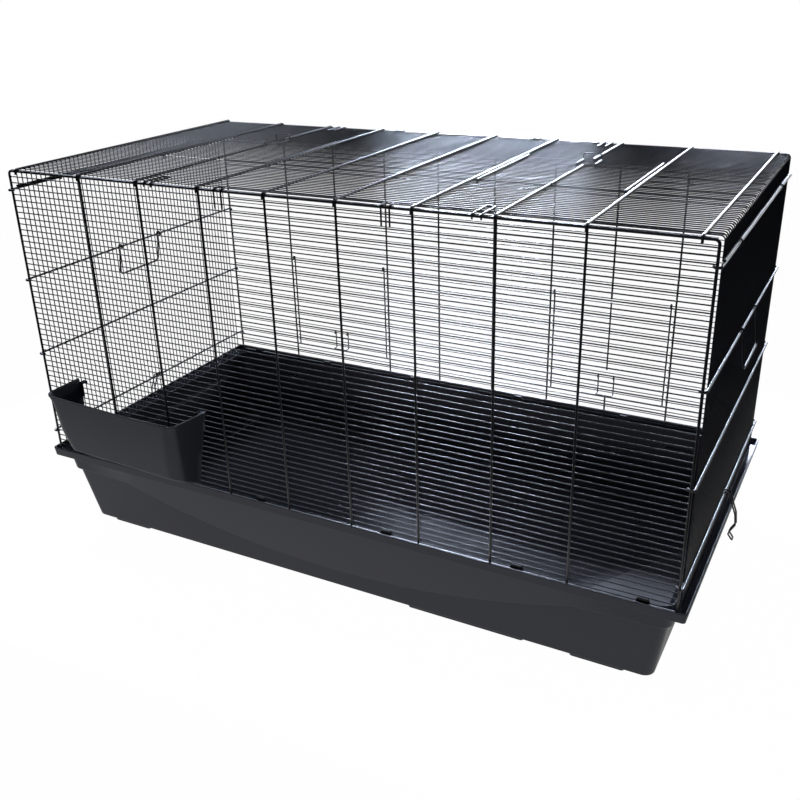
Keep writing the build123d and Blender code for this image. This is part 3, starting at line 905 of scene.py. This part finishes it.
@dataclass
class HayRack:
    """The plastic hay rack on the front panel: a thin shell, open at the top and back, with two hooks.

    It hangs a little askew, because its left hook sits one bar higher than its right one.
    """

    sizes: CageSizes = SIZES
    middle: float = -305.0 * MM
    back: float = -247.0 * MM
    top: float = 263.5 * MM
    low: float = 139.136 * MM
    levels: tuple[RackLevel, ...] = (
        RackLevel(0.0, 118.0, 115.0, 124.0, 68.0, 16.0),
        RackLevel(0.12, 113.5, 112.5, 120.5, 65.2, 16.5),
        RackLevel(0.5, 114.5, 107.5, 112.5, 56.5, 18.0),
        RackLevel(1.0, 95.5, 101.0, 102.0, 45.0, 20.0),
    )
    slope: float = 0.62
    bends: tuple[float, ...] = (20.0 * MM, 45.0 * MM, 5.0 * MM)
    longest_run: float = 7.0 * MM
    end_steps: int = 6
    front_steps: int = 40
    wall: float = 2.2 * MM
    edge_bevel: float = 0.7 * MM
    lip_radius: float = 1.5 * MM
    hook_row: int = 14
    hook_spread: float = 226.0 * MM
    hook_width: float = 7.0 * MM
    hook_thick: float = 2.5 * MM
    hook_nose: float = 2.6 * MM
    hook_deep: float = 2.2 * MM
    hook_drop: float = 20.0 * MM
    hook_gap: float = 0.3 * MM
    hook_bevel: float = 0.4 * MM

    @property
    def pivot(self) -> float:
        """Height of the rack's middle."""
        return (self.top + self.low) / 2

    @property
    def lean(self) -> float:
        """Sine of the rack's turn: one bar pitch over the spread of the hooks."""
        return self.sizes.pitch / self.hook_spread

    def askew(self, points: np.ndarray) -> np.ndarray:
        """Turn points about the rack's middle so that the left end rises.

        Args:
            points: Points of the level rack.

        Returns:
            Points of the hung rack.
        """
        sine = self.lean
        cosine = math.sqrt(1.0 - sine * sine)
        along = points[..., 0] - self.middle
        up = points[..., 2] - self.pivot
        x = self.middle + cosine * along + sine * up
        z = self.pivot - sine * along + cosine * up
        return np.stack([x, points[..., 1], z], axis=-1)

    def outline(self, level: RackLevel, steps: int = 10) -> np.ndarray:
        """Plan of the rack at one level: end wall, rounded corner, front, rounded corner, end wall.

        Args:
            level: Sizes at this level.
            steps: Points on each rounded corner.

        Returns:
            Plan points from the left back corner to the right back corner.
        """
        front = -level.depth
        line = [(-level.left, 0.0), (-level.left, front), (level.right, front), (level.right_back, 0.0)]
        line = rounded_polyline(np.array(line) * MM, np.full(2, level.corner * MM), steps)
        runs = [
            np.linspace(line[0], line[1], self.end_steps + 1)[:-1],
            line[1 : 1 + steps],
            np.linspace(line[steps], line[1 + steps], self.front_steps + 1)[1:-1],
            line[1 + steps : 1 + 2 * steps],
            np.linspace(line[2 * steps], line[-1], self.end_steps + 1)[1:],
        ]
        return np.vstack(runs) + np.array([self.middle, self.back])

    def walls(self) -> np.ndarray:
        """The outer surface, from the top edge over the rounded lower edge onto the bottom.

        Each line runs through the outlines of all levels, and stops where it meets the sloping bottom,
        whose height is low + slope * depth.

        Returns:
            Points, rows by samples by three.
        """
        plans = np.stack([self.outline(level) for level in self.levels])
        fall = self.top - self.low
        height = self.top - fall * np.array([level.down for level in self.levels])
        points = upright(plans, height[:, None])
        deep = self.back - plans[..., 1]
        left_over = height[-2] - self.low - self.slope * deep[-2]
        stop = left_over / (height[-2] - self.low + self.slope * (deep[-1] - deep[-2]))
        edge = points[-2] + stop[:, None] * (points[-1] - points[-2])
        half_depth = self.levels[-1].depth * MM / 2
        middle = np.array([self.middle, self.back - half_depth, self.low + self.slope * half_depth])
        inward = edge + 0.3 * (middle - edge)
        lines = np.stack([*points[:-1], edge, inward], axis=1)
        lines = dense(rounded_polyline(lines, np.array(self.bends), 8), self.longest_run)
        return self.askew(lines.swapaxes(0, 1))

    def shell(self) -> Mesh:
        """The outer skin with its bottom; rows run down, so the faces are turned to look out.

        Returns:
            The mesh.
        """
        points = self.walls()
        rows, columns = points.shape[:2]
        faces = grid_faces(rows, columns, False).tolist()
        faces.append(list(range((rows - 1) * columns, rows * columns)))
        return points.reshape(-1, 3), [face[::-1] for face in faces]

    def lip(self) -> Mesh:
        """The bead that stiffens the top edge: a round section carried along the top outline.

        Returns:
            The mesh.
        """
        line = self.outline(self.levels[0], 14)
        ahead = np.gradient(line, axis=0)
        ahead = ahead / np.linalg.norm(ahead, axis=1, keepdims=True)
        side = np.stack([-ahead[:, 1], ahead[:, 0]], axis=-1)
        radius = self.lip_radius
        inward = line + side * radius
        angle = np.linspace(0.0, 2.0 * np.pi, 10, endpoint=False)
        plan = inward[:, None] + side[:, None] * (radius * np.cos(angle))[None, :, None]
        height = self.top - radius + radius * np.sin(angle)
        return capped_tube(self.askew(upright(plan, height)))

    def hooks(self) -> Mesh:
        """The two hooks: back plates that reach the end walls, and level noses over the bars.

        Each block is one side profile given a width.

        Returns:
            All blocks as one mesh.
        """
        s = self.sizes
        inside = -s.bar_plane + s.bar_radius + self.hook_gap
        deep = inside + self.hook_deep
        fall = self.top - self.low
        downs = [level.down for level in self.levels]
        blocks = []
        for side in (-1, 1):
            row = self.hook_row + (1 if side < 0 else 0)
            low = s.rail_height + s.pitch * row + s.bar_radius + self.hook_gap
            mid = s.rail_height + s.pitch * (self.hook_row + 0.5)
            reaches = [level.left if side < 0 else level.right_back for level in self.levels]
            reach = float(np.interp((self.top - mid) / fall, downs, reaches)) * MM
            leant = self.lean * (mid - self.pivot)
            wall_x = self.middle + leant + side * (reach - 0.6 * self.wall)
            near = self.middle + side * (self.hook_spread / 2 - self.hook_width)
            far = self.middle + side * self.hook_spread / 2
            face = self.back - self.wall
            over = low + self.hook_thick
            under = low - self.hook_drop
            tip = low - self.hook_nose
            plate = [(face, under), (self.back, under), (self.back, over), (face, over)]
            nose = [(face, low), (inside, low), (inside, tip), (deep, tip), (deep, over), (face, over)]
            for profile, outer in ((plate, wall_x), (nose, far)):
                sides = [np.insert(profile, 0, x, axis=1) for x in (near, outer)]
                blocks.append(capped_tube(np.stack(sides)))
        return joined(blocks)

    def build(self, material: bpy.types.Material) -> list[bpy.types.Object]:
        """Build and hang the rack.

        Args:
            material: Its finish.

        Returns:
            Its pieces.
        """
        shell = make_piece("rack_shell", *self.shell(), material, 35.0)
        solid = shell.modifiers.new("wall", "SOLIDIFY")
        solid.thickness = self.wall
        solid.offset = -1.0
        bevel = soften(shell, self.edge_bevel)
        bevel.limit_method = "ANGLE"
        bevel.angle_limit = math.radians(35.0)
        lip = make_piece("rack_lip", *self.lip(), material, 60.0)
        hooks = make_piece("rack_hooks", *self.hooks(), material, 30.0)
        soften(hooks, self.hook_bevel)
        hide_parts("hay_rack")
        for piece in (shell, lip, hooks):
            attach(piece, "hay_rack")
        return [shell, lip, hooks]


@dataclass
class WeldBeads:
    """Resistance welds where wires cross: small flattened beads under the enamel."""

    wide: float = 1.55 * MM
    thick: float = 0.75 * MM
    spokes: int = 6
    bands: int = 4

    def template(self) -> tuple[np.ndarray, np.ndarray]:
        """A unit ball: poles and rings of (sin, cos) points.

        Returns:
            Its points and its triangles.
        """
        lift = np.linspace(0.0, np.pi, self.bands + 1)[1:-1, None]
        turn = np.linspace(0.0, 2.0 * np.pi, self.spokes, endpoint=False)
        plan = np.sin(lift)[..., None] * np.stack([np.cos(turn), np.sin(turn)], axis=-1)
        ring = upright(plan, np.cos(lift)).reshape(-1, 3)
        points = np.vstack([ring, [(0.0, 0.0, 1.0)], [(0.0, 0.0, -1.0)]])
        quads = grid_faces(self.bands - 1, self.spokes, True)
        sides = np.vstack([quads[:, [0, 3, 2]], quads[:, [0, 2, 1]]])
        step = np.arange(self.spokes)
        after = (step + 1) % self.spokes
        last = (self.bands - 2) * self.spokes
        top = np.stack([np.full(self.spokes, len(ring)), step, after], axis=-1)
        under = np.stack([np.full(self.spokes, len(ring) + 1), last + after, last + step], axis=-1)
        return points, np.vstack([sides, top, under])

    def scatter(
        self,
        name: str,
        places: np.ndarray,
        normal: int,
        material: bpy.types.Material,
    ) -> bpy.types.Object:
        """Put a bead at every place.

        Args:
            name: The piece's name.
            places: Where wires cross.
            normal: The axis along which the crossing wires lie on each other.
            material: Its finish.

        Returns:
            All beads as one piece.
        """
        ball, triangles = self.template()
        size = np.full(3, self.wide)
        size[normal] = self.thick
        points = (places[:, None] + (ball * size)[None]).reshape(-1, 3)
        faces = (np.arange(len(places))[:, None, None] * len(ball) + triangles[None]).reshape(-1, 3)
        piece = make_piece(name, points, faces, material, 80.0)
        return piece


def crossings(
    first: np.ndarray,
    second: np.ndarray,
    level: float,
    order: tuple[int, int, int],
) -> np.ndarray:
    """Every crossing of two sets of wires in one plane.

    Args:
        first: Places of the first set.
        second: Places of the second set.
        level: Where the plane is.
        order: Which axis each of the three belongs to.

    Returns:
        Points, one row each.
    """
    one, two = np.meshgrid(first, second, indexing="ij")
    points = np.empty((one.size, 3))
    points[:, list(order)] = np.column_stack([one.ravel(), two.ravel(), np.full(one.size, level)])
    return points


@dataclass
class WireTop:
    """The wire cage: enamel on every CAD wire, and weld beads at the crossings."""

    sizes: CageSizes = SIZES
    beads: WeldBeads = field(default_factory=WeldBeads)

    def door_rows(self, kind: DoorKind) -> np.ndarray:
        """Row numbers that a door's opening takes out of its panel.

        Args:
            kind: Roof or rear door.

        Returns:
            Row numbers on the bar grid.
        """
        if kind is DoorKind.ROOF:
            start = self.sizes.top_hinge_row + 1
            return np.arange(start, start + self.sizes.top_door_rows)
        stop = self.sizes.back_hinge_row
        return np.arange(stop - self.sizes.back_door_rows, stop)

    def outside_doors(self, places: np.ndarray, axis: int, rows: np.ndarray) -> np.ndarray:
        """Leave out the crossings that the doors' openings take away.

        Args:
            places: Crossings of a panel.
            axis: The axis along which its bars are counted.
            rows: Where the bars that the doors cut are, along it.

        Returns:
            The crossings that are left.
        """
        s = self.sizes
        at = places[:, axis]
        in_rows = (at > rows.min() - s.pitch / 2) & (at < rows.max() + s.pitch / 2)
        at_door = np.isclose(np.abs(places[:, 0]), s.door_x)
        return places[~(in_rows & at_door)]

    def panel_welds(self, panel: Panel) -> Welds:
        """Welds of a long panel.

        Args:
            panel: Front or back.

        Returns:
            Crossings and their axis.
        """
        s = self.sizes
        rows = np.arange(1, round(s.rise / s.pitch))
        level = panel.value * (s.bar_plane + s.bar_radius)
        places = crossings(s.upright_x, s.rail_height + s.pitch * rows, level, (0, 2, 1))
        if panel is Panel.BACK:
            heights = s.rail_height + s.pitch * self.door_rows(DoorKind.REAR)
            places = self.outside_doors(places, 2, heights)
        return places, 1

    def end_welds(self, end: End) -> Welds:
        """Welds of a short end.

        Args:
            end: Left or right.

        Returns:
            Crossings and their axis.
        """
        s = self.sizes
        heights = s.rail_height + np.array([s.handle_rise, s.middle_rise, s.clip_rise])
        level = end.value * (s.cross_plane - s.upright_radius)
        return crossings(s.bar_y, np.append(heights, s.fold_z), level, (1, 2, 0)), 0

    def roof_welds(self) -> Welds:
        """Welds of the roof.

        Returns:
            Crossings and their axis.
        """
        s = self.sizes
        ends = s.half_length - s.end_wire
        across = np.append(s.upright_x, [-ends, ends])
        places = crossings(across, s.bar_y, s.top_cross_z - s.upright_radius, (0, 1, 2))
        return self.outside_doors(places, 1, s.pitch * self.door_rows(DoorKind.ROOF)), 2

    def door_welds(self, kind: DoorKind, end: End) -> Welds:
        """Welds of one door.

        Args:
            kind: Roof or rear door.
            end: Left or right.

        Returns:
            Crossings and their axis.
        """
        s = self.sizes
        middle = end.value * s.door_x
        half = s.bay - s.door_inset
        contact = s.door_gap + s.bar_radius
        count = len(self.door_rows(kind))
        steps = np.arange(1, count + 1)
        sides = np.array([middle - half, middle + half])
        mid_steps = steps[steps < count - 4 - s.mid_wire_short / s.pitch]
        if kind is DoorKind.ROOF:
            start = s.pitch * s.top_hinge_row
            level = s.top_cross_z - s.upright_radius - s.bar_radius + contact
            order, way = (0, 1, 2), 1.0
        else:
            start = s.rail_height + s.pitch * s.back_hinge_row
            level = s.bar_plane + contact
            order, way = (0, 2, 1), -1.0
        at_sides = crossings(sides, start + way * s.pitch * steps, level, order)
        at_middle = crossings(np.array([middle]), start + way * s.pitch * mid_steps, level, order)
        return np.vstack([at_sides, at_middle]), order[2]

    def build(self, nodes: Mapping[str, bpy.types.Object]) -> list[bpy.types.Object]:
        """Dress every wire and add the beads.

        Args:
            nodes: The CAD nodes by name.

        Returns:
            The new pieces.
        """
        enamel = ENAMEL.material()
        plastics = {"tray", "hay_rack", "locating_tabs"}
        for name, node in nodes.items():
            if name not in plastics:
                node.data.materials.clear()
                node.data.materials.append(enamel)
        fixed = {panel.name.lower(): self.panel_welds(panel) for panel in Panel}
        fixed |= {end.name.lower(): self.end_welds(end) for end in End}
        fixed["roof"] = self.roof_welds()
        pieces = []
        for name, welds in fixed.items():
            piece = self.beads.scatter(name + "_weld_beads", *welds, enamel)
            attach(piece, "wire_top")
            pieces.append(piece)
        for kind, end in product(DoorKind, End):
            name = f"{kind.value}_{end.name.lower()}_door"
            piece = self.beads.scatter(name + "_weld_beads", *self.door_welds(kind, end), enamel)
            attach(piece, name)
            pieces.append(piece)
        return pieces


@dataclass(frozen=True)
class SoftBox:
    """One rectangular lamp.

    Without diffuse it only shows in reflections, and without glossy it leaves no reflection.
    """

    name: str
    place: Triple
    aim: Triple
    size: tuple[float, float]
    power: float
    tint: Triple = (1.0, 1.0, 1.0)
    diffuse: bool = True
    glossy: bool = True

    def hang(self) -> None:
        """Add the lamp to the scene."""
        data = bpy.data.lights.new(self.name, "AREA")
        data.shape = "RECTANGLE"
        data.size, data.size_y = self.size
        data.energy = self.power
        data.color = self.tint
        lamp = bpy.data.objects.new(self.name, data)
        lamp.location = self.place
        ahead = Vector(self.aim) - Vector(self.place)
        lamp.rotation_euler = ahead.to_track_quat("-Z", "Y").to_euler()
        lamp.visible_diffuse = self.diffuse
        lamp.visible_glossy = self.glossy
        show(lamp)


def level_corners(x: tuple[float, float], y: tuple[float, float], z: float) -> np.ndarray:
    """Corners of a level rectangle from where to where, counter-clockwise from the front left."""
    return np.array([(x[0], y[0], z), (x[1], y[0], z), (x[1], y[1], z), (x[0], y[1], z)])


@dataclass
class Studio:
    """Camera at the photograph's angle, soft boxes between dark cards, and a plain white surround."""

    sensor: float = 36.0
    focal_px: float = 954.26
    frame_px: float = 800.0
    azimuth: float = 28.42
    elevation: float = 24.357
    roll: float = 1.523
    eye: Triple = (0.6411, -1.1878, 0.8206)
    room: float = 2.7
    ceiling: float = 2.6
    paper: float = 0.8
    reach: float = 12.0
    camera_share: float = 0.96
    mirror_share: float = 0.66
    glow: float = 1.03
    surround: float = 0.3
    surround_tint: Triple = (0.93, 0.96, 1.0)
    card_lift: float = 0.004
    opening_x: tuple[float, float] = (-0.95, 0.68)
    opening_y: tuple[float, float] = (-0.52, 0.75)
    boxes: tuple[SoftBox, ...] = (
        SoftBox(
            "sheen_box", (-0.78, 2.2, 0.96), (0.0, 0.0, 0.5), (0.76, 0.4), 140.0, (0.7, 0.8, 1.0),
            diffuse=False,
        ),
        SoftBox("left_top", (-1.9, 0.9, 2.1), (-0.3, 0.0, 0.55), (0.9, 0.5), 26.0, (0.76, 0.84, 1.0)),
        SoftBox(
            "right_sheen", (0.25, 2.2, 0.96), (0.3, 0.0, 0.5), (0.6, 0.4), 28.0, (0.72, 0.8, 1.0),
            diffuse=False,
        ),
        SoftBox("back_box", (1.15, 2.2, 1.0), (0.2, 0.0, 0.45), (0.9, 0.35), 8.0, (0.9, 0.95, 1.0)),
        SoftBox("top_strip", (0.0, -0.4, 2.2), (0.0, 0.0, 0.1), (1.6, 0.14), 3.0, (0.85, 0.92, 1.0)),
        SoftBox("front_box", (0.4, -2.3, 0.3), (0.35, -0.2, 0.12), (1.4, 0.3), 27.0, glossy=False),
    )

    def camera(self) -> None:
        """Make the camera from its measured angles."""
        a, e, r = (math.radians(v) for v in (self.azimuth, self.elevation, self.roll))
        ahead = np.array([-math.sin(a) * math.cos(e), math.cos(a) * math.cos(e), -math.sin(e)])
        right = np.array([math.cos(a), math.sin(a), 0.0])
        down = np.cross(ahead, right)
        side = math.cos(r) * right + math.sin(r) * down
        lower = -math.sin(r) * right + math.cos(r) * down
        turn = Matrix(np.column_stack([side, -lower, -ahead]).tolist()).to_4x4()
        data = bpy.data.cameras.new("photo_camera")
        data.sensor_width = self.sensor
        data.lens = self.sensor * self.focal_px / self.frame_px
        data.clip_start = 0.01
        camera = bpy.data.objects.new("photo_camera", data)
        camera.matrix_world = Matrix.Translation(Vector(self.eye)) @ turn
        show(camera)
        bpy.context.scene.camera = camera

    @staticmethod
    def rays(graph: Graph) -> tuple[Shade, Shade]:
        """Whether a ray comes from the camera, and whether it is mirrored or let through.

        Args:
            graph: The graph that asks.

        Returns:
            Both as 0 or 1.
        """
        path = graph.add("ShaderNodeLightPath").outputs
        mirrored = Shade(graph, path["Is Glossy Ray"]) + Shade(graph, path["Is Transmission Ray"])
        return Shade(graph, path["Is Camera Ray"]), mirrored.clamp()

    def world(self) -> None:
        """White to the camera and to reflections, a softer grey as a light."""
        world = bpy.data.worlds.new("white_surround")
        graph = Graph(world)
        camera, mirrored = self.rays(graph)
        tint = (*self.surround_tint, 1.0)
        soft = graph.add("ShaderNodeBackground", {"Color": tint, "Strength": self.surround})
        white = graph.add("ShaderNodeBackground", {"Color": WHITE, "Strength": 1.0})
        seen = (camera + mirrored).clamp()
        mix = graph.add("ShaderNodeMixShader", {0: seen, 1: soft.outputs[0], 2: white.outputs[0]})
        graph.add("ShaderNodeOutputWorld", {"Surface": mix.outputs[0]})
        bpy.context.scene.world = world

    def floor(self) -> None:
        """Lay a paper floor that is white to the camera and keeps a faint shadow."""
        graph = Graph(bpy.data.materials.new("white_floor"))
        camera, mirrored = self.rays(graph)
        grey = (self.paper, self.paper, self.paper, 1.0)
        paper = graph.add("ShaderNodeBsdfDiffuse", {"Color": grey})
        glow = graph.add("ShaderNodeEmission", {"Color": WHITE, "Strength": self.glow})
        share = camera * self.camera_share + mirrored * self.mirror_share
        mix = graph.add("ShaderNodeMixShader", {0: share, 1: paper.outputs[0], 2: glow.outputs[0]})
        graph.add("ShaderNodeOutputMaterial", {"Surface": mix.outputs[0]})
        points = level_corners((-self.reach, self.reach), (-self.reach, self.reach), 0.0)
        floor = make_piece("studio_floor", points, [(0, 1, 2, 3)], graph.owner)

    def cards(self) -> None:
        """Stand dark cards round the set, over it and on the floor about it, out of the camera's sight."""
        graph = Graph(bpy.data.materials.new("dark_card"))
        material = graph.surface({"Base Color": (0.02, 0.02, 0.02, 1.0), "Roughness": 0.9})
        room = (-self.room, self.room)
        points = np.vstack(
            [
                level_corners(room, room, self.card_lift),
                level_corners(room, room, self.ceiling),
                level_corners(self.opening_x, self.opening_y, self.card_lift),
            ]
        )
        faces = [(0, 1, 5, 4), (1, 2, 6, 5), (2, 3, 7, 6), (3, 0, 4, 7), (4, 5, 6, 7)]
        faces += [(0, 1, 9, 8), (1, 2, 10, 9), (2, 3, 11, 10), (3, 0, 8, 11)]
        cards = make_piece("dark_cards", points, faces, material, 20.0)
        cards.visible_camera = False

    def build(self) -> None:
        """Set up the whole studio."""
        bpy.context.scene.view_settings.view_transform = "Standard"
        self.world()
        self.floor()
        self.cards()
        for box in self.boxes:
            box.hang()
        self.camera()


def main() -> None:
    """Load the frame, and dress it."""
    logging.basicConfig(level=logging.INFO, format="%(name)s: %(message)s")
    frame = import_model()
    Studio().build()
    nodes = frame["nodes"]
    pieces = WireTop().build(nodes)
    tray_pieces = Tray().build()
    pieces += tray_pieces
    pieces += HayRack().build(tray_pieces[0].data.materials[0])
    tabs = nodes["locating_tabs"]
    tabs.data.materials.clear()
    tabs.data.materials.append(BLACK_TAB.material())
    for piece in pieces:
        log.info("%s: %d faces", piece.name, len(piece.data.polygons))
    bpy.context.view_layer.update()


if __name__ == "__main__":
    main()
